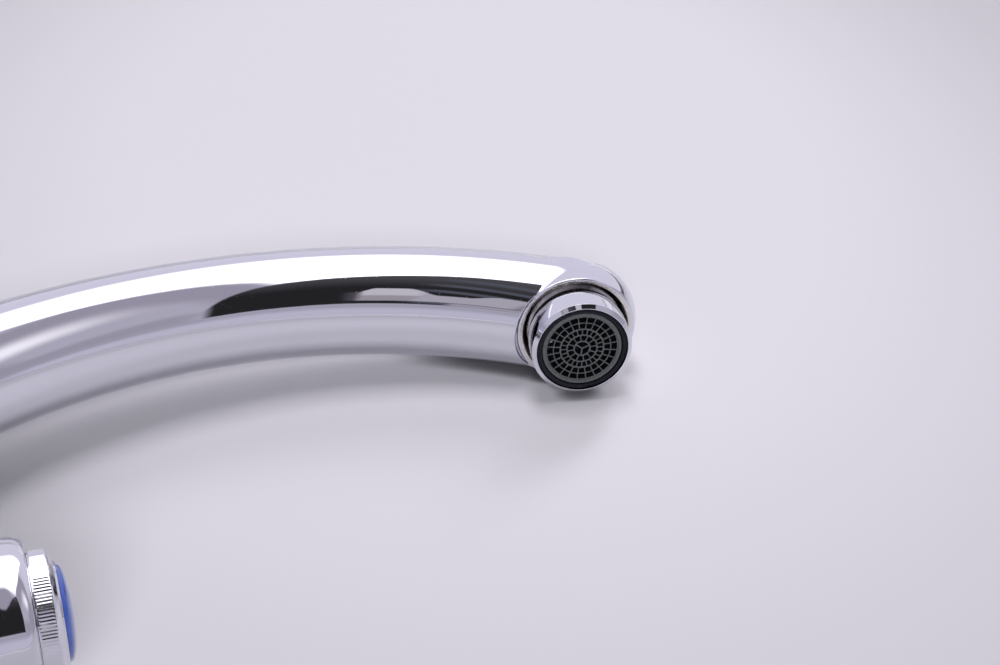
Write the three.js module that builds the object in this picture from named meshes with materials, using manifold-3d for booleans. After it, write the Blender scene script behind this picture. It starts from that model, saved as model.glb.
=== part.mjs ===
// Two-handle deck mixer tap with a swivelling swan-neck spout.
// Millimetres, +Z up. Origin: centre of the base gasket's underside, on the deck.
// +X is the cold side, -X the hot side, -Y the user's side.
// At rest the spout is swung over the cold handle.
import * as THREE from 'three';
import * as BufferGeometryUtils from 'three/addons/utils/BufferGeometryUtils.js';
import Module from 'manifold-3d';

const wasm = await Module();
wasm.setup();

// ---- driving dimensions -------------------------------------------------
const REACH = 182.0;            // tap axis to outlet axis
const SPOUT_SWING = 3.5;        // degrees from +X towards +Y at rest
const OUTLET_Z = 158.8;         // front face of the aerator above the deck
const HANDLE_Z = 52.0;          // where both handle axes cross the tap axis
const HANDLE_TILT = 9.0;        // degrees that each handle axis rises outwards

const BODY_Z0 = 6.5;
const BODY_Z1 = 80.0;
const SPOUT_BORE_R = 12.3;
const SPOUT_BORE_Z = 62.0;
const COLLAR_Z0 = 81.6;
const BARREL_END = 36.0;        // outer face of each valve barrel, along its axis
const VALVE_BORE_R = 10.8;
const SEAT_U = 16.0;            // valve seat face, along the handle axis

const BASE_R = 25.0;
const SHANK_R = 16.4;
const SHANK_BORE_R = 13.6;
const SHANK_Z0 = -60.0;
const PORT_Z = 15.7;            // face with the two inlet ports, inside the shank
const DECK = 20.0;              // thickness of deck the lower washers are set for

// spout centreline, measured from the outlet axis back to the tap axis
const SPINE_Z = 15.75;          // centreline height above the aerator face, on the outlet axis
const SPINE_TH0 = 23.2;         // degrees, fall of the centreline towards the outlet
const SPINE_K0 = 0.008084;      // curvature, 1/mm
const SPINE_K1 = -1.3745e-5;    // change of curvature, 1/mm^2
const SPINE_S1 = 160.0;         // from here the curvature rises to the root
const SPINE_L = 68.2;
const SPINE_KEND = 0.01938;
const tubeRadius = (s) => {
  const q = Math.min(s, 205) / 100;
  return 14.1 - 2.5 * q + 1.823 * q * q;
};

// ---- helpers ------------------------------------------------------------
function toSolid(geometry) {
  let g = geometry.clone();
  for (const name of Object.keys(g.attributes)) if (name !== 'position') g.deleteAttribute(name);
  g = BufferGeometryUtils.mergeVertices(g, 1e-4);
  const pos = g.attributes.position;
  const index = g.index.array;
  const tri = [];
  let volume = 0;
  const a = new THREE.Vector3(), b = new THREE.Vector3(), c = new THREE.Vector3();
  for (let i = 0; i < index.length; i += 3) {
    const [p, q, r] = [index[i], index[i + 1], index[i + 2]];
    if (p === q || q === r || r === p) continue;
    a.fromBufferAttribute(pos, p); b.fromBufferAttribute(pos, q); c.fromBufferAttribute(pos, r);
    volume += a.dot(b.clone().cross(c));
    tri.push(p, q, r);
  }
  if (volume < 0) for (let i = 0; i < tri.length; i += 3) [tri[i], tri[i + 1]] = [tri[i + 1], tri[i]];
  return new wasm.Manifold(new wasm.Mesh({
    numProp: 3, vertProperties: new Float32Array(pos.array), triVerts: new Uint32Array(tri),
  }));
}

function toGeometry(solid) {
  const m = solid.getMesh();
  const g = new THREE.BufferGeometry();
  g.setAttribute('position', new THREE.BufferAttribute(new Float32Array(m.vertProperties), 3));
  g.setIndex(new THREE.BufferAttribute(new Uint32Array(m.triVerts), 1));
  g.computeVertexNormals();
  return g;
}

// profile points are [radius, height]; the turned axis is Z
function turned(points, segments = 20) {
  const g = new THREE.LatheGeometry(points.map(([r, z]) => new THREE.Vector2(r, z)), segments);
  g.rotateX(Math.PI / 2);
  return g;
}
// a ring: the profile closes on itself
const ring = (points, segments = 20) => turned([...points, points[0]], segments);
const rod = (r, z0, z1, segments = 16) => turned([[0, z0], [r, z0], [r, z1], [0, z1]], segments);
const oRing = (rc, rs, z, segments = 16, sides = 6) => {
  const p = [];
  for (let i = 0; i < sides; i++) {
    const t = (2 * Math.PI * i) / sides;
    p.push([rc + rs * Math.cos(t), z + rs * Math.sin(t)]);
  }
  return ring(p, segments);
};
const prism = (sides, r, z0, z1, turn = 0) => {
  const g = new THREE.CylinderGeometry(r, r, z1 - z0, sides);
  g.rotateX(Math.PI / 2);
  g.rotateZ(turn);
  g.translate(0, 0, (z0 + z1) / 2);
  return g;
};
const star = (teeth, r1, r0, z0, z1) => {
  const pts = [];
  for (let i = 0; i < teeth * 2; i++) {
    const t = (Math.PI * i) / teeth;
    const r = i % 2 ? r0 : r1;
    pts.push(new THREE.Vector2(r * Math.cos(t), r * Math.sin(t)));
  }
  const g = new THREE.ExtrudeGeometry(new THREE.Shape(pts), { depth: z1 - z0, bevelEnabled: false });
  g.translate(0, 0, z0);
  return g;
};
const box = (w, d, h, x, y, z) => new THREE.BoxGeometry(w, d, h).translate(x, y, z);
const join = (...gs) => gs.map(toSolid).reduce((p, q) => p.add(q));
const cut = (solid, ...gs) => gs.map(toSolid).reduce((p, q) => p.subtract(q), solid);

// local frame of a handle axis: +Z of the shape runs outwards along the axis
const handleMatrix = (side) => new THREE.Matrix4()
  .makeTranslation(0, 0, HANDLE_Z)
  .multiply(new THREE.Matrix4().makeRotationY(side * THREE.MathUtils.degToRad(90 - HANDLE_TILT)));

// spout centreline as stations {s, x, z, th}; x runs from the tap axis, th is the fall
function spine(ds) {
  const out = [];
  const kS1 = SPINE_K0 + SPINE_K1 * SPINE_S1;
  let th = THREE.MathUtils.degToRad(SPINE_TH0), x = 0, z = SPINE_Z;
  const fine = 0.2, end = SPINE_S1 + SPINE_L, n = Math.round(end / fine);
  const every = Math.round(ds / fine);
  for (let i = 0; i <= n; i++) {
    const s = i * fine;
    if (i % every === 0 || i === n) out.push({ s, x: REACH + x, z: OUTLET_Z + z, th });
    const k = s < SPINE_S1 ? SPINE_K0 + SPINE_K1 * s : kS1 + ((SPINE_KEND - kS1) * (s - SPINE_S1)) / SPINE_L;
    const next = th - k * fine;
    const m = (th + next) / 2;
    x -= Math.cos(m) * fine;
    z += Math.sin(m) * fine;
    th = next;
  }
  return out;
}

// a turned bar bent along the spout centreline
function bent(stations, radius, sides) {
  const n = stations.length;
  const profile = [[0, 0]];
  stations.forEach((st, i) => profile.push([radius(st.s), i]));
  profile.push([0, n - 1]);
  const g = turned(profile, sides);
  const p = g.attributes.position;
  for (let i = 0; i < p.count; i++) {
    const st = stations[Math.round(p.getZ(i))];
    const across = p.getX(i), side = p.getY(i);
    p.setXYZ(i, st.x + across * Math.sin(st.th), side, st.z + across * Math.cos(st.th));
  }
  return g;
}

// ---- materials ----------------------------------------------------------
const mat = (color, roughness, metalness) => () => new THREE.MeshStandardMaterial({ color, roughness, metalness });
const chrome = mat(0xd8d8de, 0.06, 1.0);
const brass = mat(0xb8944a, 0.32, 1.0);
const steel = mat(0xa9abae, 0.3, 1.0);
const rubber = mat(0x1c1c1d, 0.8, 0.0);
const blackPlastic = mat(0x0c0d10, 0.4, 0.0);
const greyPlastic = mat(0x5c625f, 0.5, 0.0);
const whitePlastic = mat(0xe8e8e4, 0.45, 0.0);
const ceramic = mat(0xeeeae0, 0.25, 0.0);
const blueCap = mat(0x2743b4, 0.15, 0.0);
const redCap = mat(0xb4231f, 0.15, 0.0);

const tap = new THREE.Group();
function piece(parent, name, solid, material) {
  const geometry = solid.isBufferGeometry ? toGeometry(toSolid(solid)) : toGeometry(solid);
  const mesh = new THREE.Mesh(geometry, material());
  mesh.name = name;
  parent.add(mesh);
  return mesh;
}

// ---- body ---------------------------------------------------------------
{
  let body = toSolid(turned([
    [0, BODY_Z0], [20.9, BODY_Z0], [19.8, 15], [19.3, 25], [21.2, 37], [23.5, 50],
    [23.3, 59], [20.6, 73], [19.3, 78.6], [18.2, BODY_Z1], [0, BODY_Z1],
  ], 22));
  for (const side of [1, -1]) {
    const m = handleMatrix(side);
    body = body.add(toSolid(turned([
      [0, 0], [15.3, 0], [15.3, 29], [16.2, 31.5], [16.2, BARREL_END], [0, BARREL_END],
    ], 16).applyMatrix4(m)));
  }
  for (const side of [1, -1]) {
    const m = handleMatrix(side);
    body = cut(body,
      rod(VALVE_BORE_R, SEAT_U, BARREL_END + 1, 16).applyMatrix4(m),
      rod(12.4, SEAT_U + 1, SEAT_U + 8, 12).applyMatrix4(m),
      rod(4.0, 6, SEAT_U + 1, 8).applyMatrix4(m),
      rod(3.4, 20, HANDLE_Z + 1.5, 8).translate(side * 6.8, 0, 0),
      rod(4.6, 15, 26, 8).translate(side * 6.8, 0, 0));
  }
  body = cut(body,
    rod(SPOUT_BORE_R, SPOUT_BORE_Z, BODY_Z1 + 1, 18),
    rod(3.6, -17.5, 17.5, 8).rotateY(Math.PI / 2).translate(0, 0, 64.2),
    // shank recess, with the inlet port pad standing inside the shank's bore
    rod(SHANK_R + 0.5, BODY_Z0 - 1, PORT_Z, 18),
    ring([[SHANK_BORE_R - 0.5, PORT_Z - 0.5], [SHANK_R + 0.5, PORT_Z - 0.5], [SHANK_R + 0.5, 16.5], [SHANK_BORE_R - 0.5, 16.5]], 18),
    rod(2.3, 0, 30, 8).rotateX(-Math.PI / 2).translate(0, 0, 77));
  piece(tap, 'body', body, chrome);
}
piece(tap, 'base_flange', ring([
  [17.0, 1.8], [BASE_R - 0.4, 1.8], [BASE_R, 2.4], [BASE_R, 4.0], [BASE_R - 1.2, 5.6], [BASE_R - 3.4, 6.2], [17.0, 6.2],
], 28), chrome);
piece(tap, 'base_gasket', ring([[17.2, 0], [23.6, 0], [23.6, 1.5], [17.2, 1.5]]), rubber);
piece(tap, 'threaded_shank', ring([
  [SHANK_BORE_R, SHANK_Z0], [SHANK_R - 0.8, SHANK_Z0], [SHANK_R, SHANK_Z0 + 0.8], [SHANK_R, 16.2], [SHANK_BORE_R, 16.2],
]), brass);
piece(tap, 'clamp_washer_rubber', ring([[17.0, -DECK - 2.5], [24.0, -DECK - 2.5], [24.0, -DECK], [17.0, -DECK]]), rubber);
piece(tap, 'clamp_washer_steel', ring([[16.9, -DECK - 4.3], [24.4, -DECK - 4.3], [24.4, -DECK - 2.8], [16.9, -DECK - 2.8]]), steel);
piece(tap, 'lock_nut', cut(join(prism(6, 24.2, -DECK - 12.6, -DECK - 4.6, Math.PI / 6)),
  rod(SHANK_R + 0.4, -DECK - 14, -DECK - 3, 20)), brass);
piece(tap, 'swivel_ring', ring([[12.9, 80.3], [18.5, 80.3], [18.5, 81.3], [12.9, 81.3]]), whitePlastic);
{
  const screw = cut(join(turned([[0, 10.9], [1.1, 10.9], [1.95, 12.1], [1.95, 18.6], [0, 18.6]], 10)),
    prism(6, 1.2, 16.4, 19));
  piece(tap, 'spout_grub_screw', toGeometry(screw).rotateX(-Math.PI / 2).translate(0, 0, 77), steel);
}

// ---- valves and handles, one set for each side --------------------------
function valveSide(prefix, side, capMaterial) {
  const g = new THREE.Group();
  g.position.set(0, 0, HANDLE_Z);
  g.rotation.y = side * THREE.MathUtils.degToRad(90 - HANDLE_TILT);
  tap.add(g);

  piece(g, `${prefix}_seat_seal`, ring([[4.5, 16.3], [7.2, 16.3], [7.2, 18.1], [4.5, 18.1]], 16), rubber);
  const sector = (r0, r1, a0, a1, z0, z1) => {
    const sh = new THREE.Shape();
    const k = 4;
    for (let i = 0; i <= k; i++) { const t = a0 + ((a1 - a0) * i) / k; sh[i ? 'lineTo' : 'moveTo'](r1 * Math.cos(t), r1 * Math.sin(t)); }
    for (let i = k; i >= 0; i--) { const t = a0 + ((a1 - a0) * i) / k; sh.lineTo(r0 * Math.cos(t), r0 * Math.sin(t)); }
    return new THREE.ExtrudeGeometry(sh, { depth: z1 - z0, bevelEnabled: false }).translate(0, 0, z0);
  };
  const q = Math.PI / 4;
  piece(g, `${prefix}_fixed_disc`, cut(toSolid(rod(7.3, 18.4, 20.9, 16)),
    sector(1.6, 5.6, -q * 0.85, q * 0.85, 18, 21.2), sector(1.6, 5.6, Math.PI - q * 0.85, Math.PI + q * 0.85, 18, 21.2)), ceramic);
  piece(g, `${prefix}_moving_disc`, cut(toSolid(rod(7.3, 21.2, 23.7, 16)),
    sector(1.8, 9, Math.PI / 2 - q * 0.85, Math.PI / 2 + q * 0.85, 21, 24), sector(1.8, 9, -Math.PI / 2 - q * 0.85, -Math.PI / 2 + q * 0.85, 21, 24)), ceramic);
  piece(g, `${prefix}_spindle`, cut(join(turned([
    [0, 24.0], [7.2, 24.0], [7.2, 26.7], [4.9, 26.7], [4.9, 32.0], [3.6, 32.0], [3.6, 34.2], [4.9, 34.2],
    [4.9, 47.6], [4.1, 47.6], [4.1, 48.9], [0, 48.9],
  ], 14), star(10, 4.0, 3.5, 48.5, 58.0)), rod(2.3, 46, 59, 8)), brass);
  piece(g, `${prefix}_spindle_oring`, oRing(4.4, 0.5, 33.1, 14, 6), rubber);
  piece(g, `${prefix}_headwork`, cut(join(ring([
    [7.7, 17.3], [10.4, 17.3], [10.4, 37.9], [9.2, 42.9], [8.0, 43.2], [8.0, 47.0], [5.2, 47.0], [5.2, 27.0], [7.7, 27.0],
  ], 18)).add(cut(toSolid(prism(6, 12.1, 37.6, 42.6)), rod(6.5, 37, 43, 18))),
    box(30, 7.5, 5.0, 0, 0, 21.4)), brass);
  piece(g, `${prefix}_headwork_gasket`, ring([[10.9, 36.3], [12.9, 36.3], [12.9, 37.3], [10.9, 37.3]], 18), whitePlastic);
  piece(g, `${prefix}_circlip`, cut(toSolid(ring([[4.4, 47.95], [6.4, 47.95], [6.4, 48.6], [4.4, 48.6]], 14)),
    box(4, 3.2, 3, 6, 0, 48.3)), steel);
  piece(g, `${prefix}_shroud`, ring([
    [13.4, 36.3], [15.9, 36.3], [15.9, 43.4], [15.0, 44.4], [8.6, 44.4], [8.6, 43.3], [13.4, 43.1],
  ], 20), chrome);
  piece(g, `${prefix}_handle`, cut(toSolid(turned([
    [0, 37.2], [17.6, 37.2], [18.5, 38.4], [18.5, 42.0], [17.3, 49.5], [15.9, 56.0],
    [14.8, 59.7], [13.3, 61.2], [12.3, 61.6], [12.3, 64.9], [10.6, 65.8], [10.0, 66.3], [0, 66.3],
  ], 20)),
    turned([[0, 36], [16.5, 36], [16.5, 44.2], [15.6, 45.6], [9.0, 49.2], [0, 49.2]], 18),
    star(10, 4.35, 3.85, 48, 58.3),
    rod(2.5, 57, 61, 10), rod(4.9, 60.1, 66, 16), rod(9.68, 64.3, 67, 20)), chrome);
  piece(g, `${prefix}_handle_screw`, cut(join(rod(2.0, 48.4, 60.9, 8), turned([[0, 60.4], [4.3, 60.4], [4.3, 62.6], [3.6, 63.5], [0, 63.5]], 14)),
    box(1.0, 12, 2.0, 0, 0, 63.5), box(12, 1.0, 2.0, 0, 0, 63.5)), steel);
  piece(g, `${prefix}_index_cap`, turned([
    [0, 64.9], [9.3, 64.9], [9.3, 66.5], [7.0, 67.75], [3.6, 68.6], [0, 68.75],
  ], 20), capMaterial);
}
valveSide('cold', 1, blueCap);
valveSide('hot', -1, redCap);

// ---- spout --------------------------------------------------------------
const spout = new THREE.Group();
spout.rotation.z = THREE.MathUtils.degToRad(SPOUT_SWING);
tap.add(spout);
{
  let solid = toSolid(bent(spine(15.2), tubeRadius, 20));
  // outlet boss and rounded nose about the outlet axis
  const boss = turned([[0, 10.6], [14.8, 10.6], [14.8, 13.5], [14.0, 21.5], [12.7, 27.0], [9.4, 30.3], [0, 31.7]], 22)
    .translate(REACH, 0, OUTLET_Z);
  solid = solid.add(toSolid(boss));
  // root collar that turns on the body
  solid = solid.add(toSolid(turned([
    [0, COLLAR_Z0], [19.2, COLLAR_Z0], [19.7, 82.4], [19.7, 85.0], [18.8, 89.5], [17.6, 96], [0, 96],
  ], 20)));
  // the tube's end is cut off flush with the outlet face
  solid = cut(solid, rod(14.85, -20, 10.6, 22).translate(REACH, 0, OUTLET_Z));
  // waterway
  const inner = spine(19).filter((st) => st.s >= 6);
  solid = cut(solid,
    bent(inner, () => 9.4, 10),
    rod(9.4, 84, 97, 10),
    rod(11.95, COLLAR_Z0 - 1, 91.4, 20),
    turned([[0, 9], [13.0, 9], [13.0, 10.6], [12.4, 11.4], [12.4, 17.5], [9.4, 17.5], [8.6, 21.5], [0, 24.6]], 20)
      .translate(REACH, 0, OUTLET_Z));
  piece(spout, 'spout', solid, chrome);
}
piece(spout, 'spout_spigot', ring([
  [9.2, 63.0], [11.6, 63.0], [11.6, 66.0], [10.2, 66.0], [10.2, 68.6], [11.6, 68.6], [11.6, 71.0],
  [10.2, 71.0], [10.2, 73.6], [11.6, 73.6], [11.6, 75.4], [10.5, 75.4], [10.5, 78.6], [11.6, 78.6], [11.6, 91.0], [9.2, 91.0],
], 18), brass);
piece(spout, 'spout_oring_lower', oRing(11.15, 0.8, 67.3), rubber);
piece(spout, 'spout_oring_upper', oRing(11.15, 0.8, 72.3), rubber);

// ---- aerator, in a frame with its front face at zero --------------------
const outlet = new THREE.Group();
outlet.position.set(REACH, 0, OUTLET_Z);
spout.add(outlet);
piece(outlet, 'aerator_housing', ring([
  [11.05, -0.25], [11.25, -0.25], [12.1, 0.55], [12.1, 6.8], [11.7, 6.95], [11.7, 15.0], [10.0, 15.0], [10.0, 9.4], [11.05, 9.4],
], 24), chrome);
piece(outlet, 'aerator_insert', ring([
  [9.8, 0], [10.75, 0], [10.75, 9.1], [9.8, 9.1], [9.8, 3.2], [9.0, 3.2], [9.0, 2.6], [9.8, 2.6],
], 24), blackPlastic);
{
  const shape = new THREE.Shape();
  const n = 26;
  for (let i = 0; i < n; i++) {
    const t = (2 * Math.PI * i) / n;
    shape[i ? 'lineTo' : 'moveTo'](9.55 * Math.cos(t), 9.55 * Math.sin(t));
  }
  // cells: [inner radius, outer radius, count, phase]
  const rings = [[7.15, 8.4, 12, 0], [5.7, 6.65, 12, 0], [3.85, 4.9, 12, 0.5], [2.2, 3.35, 6, 0.5]];
  const rib = 0.36;
  for (const [r0, r1, count, phase] of rings) {
    for (let i = 0; i < count; i++) {
      const a0 = (2 * Math.PI * (i + phase)) / count, a1 = (2 * Math.PI * (i + 1 + phase)) / count;
      const h = new THREE.Path();
      const c = (r, t, off) => { const d = off / r; return [r * Math.cos(t + d), r * Math.sin(t + d)]; };
      h.moveTo(...c(r0, a0, rib / 2)); h.lineTo(...c(r1, a0, rib / 2));
      h.lineTo(...c(r1, a1, -rib / 2)); h.lineTo(...c(r0, a1, -rib / 2)); h.closePath();
      shape.holes.push(h);
    }
  }
  for (let i = 0; i < 3; i++) {
    const h = new THREE.Path();
    const a0 = (2 * Math.PI * (i + 0.25)) / 3, a1 = (2 * Math.PI * (i + 1.25)) / 3;
    const m = (a0 + a1) / 2;
    h.moveTo(0.36 * Math.cos(m), 0.36 * Math.sin(m));
    for (let k = 0; k <= 3; k++) {
      const t = a0 + 0.14 + ((a1 - a0 - 0.28) * k) / 3;
      h.lineTo(1.75 * Math.cos(t), 1.75 * Math.sin(t));
    }
    h.closePath();
    shape.holes.push(h);
  }
  piece(outlet, 'aerator_grille', new THREE.ExtrudeGeometry(shape, { depth: 1.9, bevelEnabled: false }).translate(0, 0, 0.35), greyPlastic);

  const mid = new THREE.Shape();
  for (let i = 0; i < 24; i++) {
    const t = (2 * Math.PI * i) / 24;
    mid[i ? 'lineTo' : 'moveTo'](9.5 * Math.cos(t), 9.5 * Math.sin(t));
  }
  for (const [r, count] of [[6.6, 8]]) {
    for (let i = 0; i < count; i++) {
      const t = (2 * Math.PI * i) / count, h = new THREE.Path();
      for (let k = 0; k < 6; k++) {
        const u = (Math.PI * k) / 3;
        h[k ? 'lineTo' : 'moveTo'](r * Math.cos(t) + 0.9 * Math.cos(u), r * Math.sin(t) + 0.9 * Math.sin(u));
      }
      h.closePath();
      mid.holes.push(h);
    }
  }
  piece(outlet, 'aerator_diffuser', new THREE.ExtrudeGeometry(mid, { depth: 1.4, bevelEnabled: false }).translate(0, 0, 3.5), blackPlastic);
}
piece(outlet, 'aerator_strainer', turned([
  [0, 7.9], [8.3, 5.3], [9.5, 5.3], [9.5, 6.1], [8.6, 6.1], [0, 8.8],
], 18), whitePlastic);
piece(outlet, 'aerator_washer', ring([[9.3, 15.3], [11.9, 15.3], [11.9, 17.2], [9.3, 17.2]], 18), rubber);

export default tap;
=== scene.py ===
# Two-handle deck mixer tap with a swivelling swan-neck spout, on a pale sweep.
# Lengths in the code are millimetres until a mesh is made, then metres.
import math
import bpy
import numpy as np
from mathutils import Matrix, Vector


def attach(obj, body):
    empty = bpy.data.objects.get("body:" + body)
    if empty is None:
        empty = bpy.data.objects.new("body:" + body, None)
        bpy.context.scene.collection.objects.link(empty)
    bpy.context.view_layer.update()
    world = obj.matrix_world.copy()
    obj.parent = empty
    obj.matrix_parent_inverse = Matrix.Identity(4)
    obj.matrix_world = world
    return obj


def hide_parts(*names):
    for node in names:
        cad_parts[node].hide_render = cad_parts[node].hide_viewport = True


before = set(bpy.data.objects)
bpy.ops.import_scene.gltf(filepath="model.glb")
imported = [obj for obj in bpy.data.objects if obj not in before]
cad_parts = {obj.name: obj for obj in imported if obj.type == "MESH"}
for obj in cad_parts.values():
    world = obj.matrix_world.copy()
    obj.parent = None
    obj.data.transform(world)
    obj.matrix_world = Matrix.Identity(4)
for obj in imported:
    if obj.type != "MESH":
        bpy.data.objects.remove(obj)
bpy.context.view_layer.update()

scene = bpy.context.scene
rad = math.radians

# ---- dimensions shared with the frame ------------------------------------
REACH, OUTLET_Z, SWING = 182.0, 158.8, 3.5
HANDLE_Z, TILT = 52.0, 9.0
BOSS_R = 14.1
MOUTH = 9.1
SHEET_Y = 25.5


# =========================================================================
# camera
# =========================================================================
cam_data = bpy.data.cameras.new("camera")
cam_data.sensor_width = 36.0
cam_data.sensor_fit = "HORIZONTAL"
cam_data.lens = 69.98
cam_data.clip_start = 0.01
cam_data.clip_end = 60
cam = bpy.data.objects.new("camera", cam_data)
scene.collection.objects.link(cam)
right, down, forward = (0.98884, 0.0, -0.14904), (-0.07583, 0.86087, -0.50315), (0.12831, 0.50883, 0.85125)
cam.matrix_world = Matrix((
    (right[0], -down[0], -forward[0], 0.103354),
    (right[1], -down[1], -forward[1], -0.227285),
    (right[2], -down[2], -forward[2], -0.229213),
    (0, 0, 0, 1)))
scene.camera = cam


# =========================================================================
# shader helpers
# =========================================================================
class Ex:
    """A number in a node tree, with arithmetic."""
    def __init__(self, tree, sock):
        self.t, self.s = tree, sock

    def m(self, op, *o, clamp=False):
        n = self.t.nodes.new("ShaderNodeMath")
        n.operation, n.use_clamp = op, clamp
        for i, v in enumerate((self,) + o):
            if isinstance(v, Ex):
                self.t.links.new(v.s, n.inputs[i])
            else:
                n.inputs[i].default_value = float(v)
        return Ex(self.t, n.outputs[0])

    def __add__(self, o): return self.m("ADD", o)
    def __sub__(self, o): return self.m("SUBTRACT", o)
    def __mul__(self, o): return self.m("MULTIPLY", o)
    def __truediv__(self, o): return self.m("DIVIDE", o)
    def rsub(self, v): return (self * -1.0) + v
    def max(self, o): return self.m("MAXIMUM", o)
    def min(self, o): return self.m("MINIMUM", o)

    def step(self, a, b, lo=0.0, hi=1.0):
        """Smooth rise from lo at a to hi at b."""
        if a > b:
            a, b, lo, hi = b, a, hi, lo
        n = self.t.nodes.new("ShaderNodeMapRange")
        n.interpolation_type = "SMOOTHSTEP"
        self.t.links.new(self.s, n.inputs["Value"])
        for k, v in (("From Min", a), ("From Max", b), ("To Min", lo), ("To Max", hi)):
            n.inputs[k].default_value = v
        return Ex(self.t, n.outputs["Result"])

    def band(self, a, b, soft):
        return self.step(a - soft, a + soft) * self.step(b + soft, b - soft)


def mix(tree, fac, a, b):
    """Colour a where fac is 0 and b where it is 1."""
    n = tree.nodes.new("ShaderNodeMix")
    n.data_type = "RGBA"
    n.clamp_factor = True
    f, ca, cb = n.inputs[0], n.inputs[6], n.inputs[7]
    if isinstance(fac, Ex):
        tree.links.new(fac.s, f)
    else:
        f.default_value = fac
    for sock, v in ((ca, a), (cb, b)):
        if isinstance(v, (tuple, list)):
            sock.default_value = (*v, 1.0)
        else:
            tree.links.new(v, sock)
    return n.outputs[2]


def new_material(name, color, metallic, rough, coat=0.0, spec=0.5, ior=1.5):
    m = bpy.data.materials.new(name)
    m.use_nodes = True
    t = m.node_tree
    b = t.nodes["Principled BSDF"]
    b.inputs["Base Color"].default_value = (*color, 1)
    b.inputs["Metallic"].default_value = metallic
    b.inputs["Roughness"].default_value = rough
    b.inputs["IOR"].default_value = ior
    b.inputs["Specular IOR Level"].default_value = spec
    b.inputs["Coat Weight"].default_value = coat
    b.inputs["Coat Roughness"].default_value = 0.04
    return m, t, b


def noise(t, scale, detail=2.0, rough=0.5, stretch=None, distortion=0.0):
    co = t.nodes.new("ShaderNodeTexCoord")
    src = co.outputs["Object"]
    if stretch:
        mp = t.nodes.new("ShaderNodeMapping")
        mp.inputs["Scale"].default_value = stretch
        t.links.new(src, mp.inputs["Vector"])
        src = mp.outputs["Vector"]
    n = t.nodes.new("ShaderNodeTexNoise")
    n.inputs["Scale"].default_value = scale
    n.inputs["Detail"].default_value = detail
    n.inputs["Roughness"].default_value = rough
    n.inputs["Distortion"].default_value = distortion
    t.links.new(src, n.inputs["Vector"])
    return Ex(t, n.outputs["Fac"])


def bump(t, b, height, distance, strength=1.0, under=None):
    n = t.nodes.new("ShaderNodeBump")
    n.inputs["Distance"].default_value = distance
    n.inputs["Strength"].default_value = strength
    t.links.new(height.s, n.inputs["Height"])
    if under:
        t.links.new(under, n.inputs["Normal"])
    t.links.new(n.outputs["Normal"], b.inputs["Normal"])
    return n.outputs["Normal"]


def chrome_material(name, color, rough, wave):
    # plated casting: mirror polish over faint cast waviness, with wipe marks and specks of dust
    m, t, b = new_material(name, color, 1.0, rough)
    smear = noise(t, 38, 3.0, 0.6, (1.0, 1.0, 0.35)).step(0.42, 0.72)
    speck = noise(t, 2600, 0.0).step(0.74, 0.80)
    r = (smear * 0.018) + (speck * 0.10) + rough
    t.links.new(r.s, b.inputs["Roughness"])
    long_wave = noise(t, 42, 1.0, 0.4)
    first = bump(t, b, long_wave, 0.00011 * wave)
    peel = noise(t, 330, 1.0, 0.4)
    bump(t, b, peel, 0.0000035 * wave, under=first)
    return m


def satin_metal(name, dark, light, rough, scale=500, depth=0.00002, stretch=None):
    m, t, b = new_material(name, light, 1.0, rough)
    n = noise(t, scale, 4.0, 0.6, stretch)
    t.links.new(mix(t, n.step(0.35, 0.65), dark, light), b.inputs["Base Color"])
    t.links.new(n.step(0.3, 0.7, rough * 0.8, rough * 1.25).s, b.inputs["Roughness"])
    bump(t, b, n, depth)
    return m


def plastic(name, dark, light, rough, scale=900, depth=0.00001, coat=0.0, spec=0.5):
    m, t, b = new_material(name, light, 0.0, rough, coat, spec)
    n = noise(t, scale, 3.0, 0.55)
    big = noise(t, scale / 12, 2.0, 0.5)
    t.links.new(mix(t, (n * 0.5 + big * 0.5).step(0.35, 0.65), dark, light), b.inputs["Base Color"])
    t.links.new(n.step(0.3, 0.7, rough * 0.85, rough * 1.2).s, b.inputs["Roughness"])
    bump(t, b, n, depth)
    return m


def grille_material():
    m, t, b = new_material("grille_plastic", (0.075, 0.083, 0.080), 0.0, 0.42)
    n = noise(t, 1300, 3.0, 0.55)
    co = t.nodes.new("ShaderNodeTexCoord")
    sep = t.nodes.new("ShaderNodeSeparateXYZ")
    t.links.new(co.outputs["Object"], sep.inputs[0])
    face = mix(t, n.step(0.3, 0.7), (0.055, 0.062, 0.060), (0.088, 0.097, 0.093))
    # painted shade: the cell walls, from about 0.5 mm above the outlet plane inwards, darkened nearly to black
    t.links.new(mix(t, Ex(t, sep.outputs[2]).step(OUTLET_Z * 0.001 + 0.00050, OUTLET_Z * 0.001 + 0.00085), face, (0.006, 0.0065, 0.0075)), b.inputs["Base Color"])
    t.links.new(n.step(0.3, 0.7, 0.36, 0.50).s, b.inputs["Roughness"])
    bump(t, b, n, 0.000005)
    return m


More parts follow.
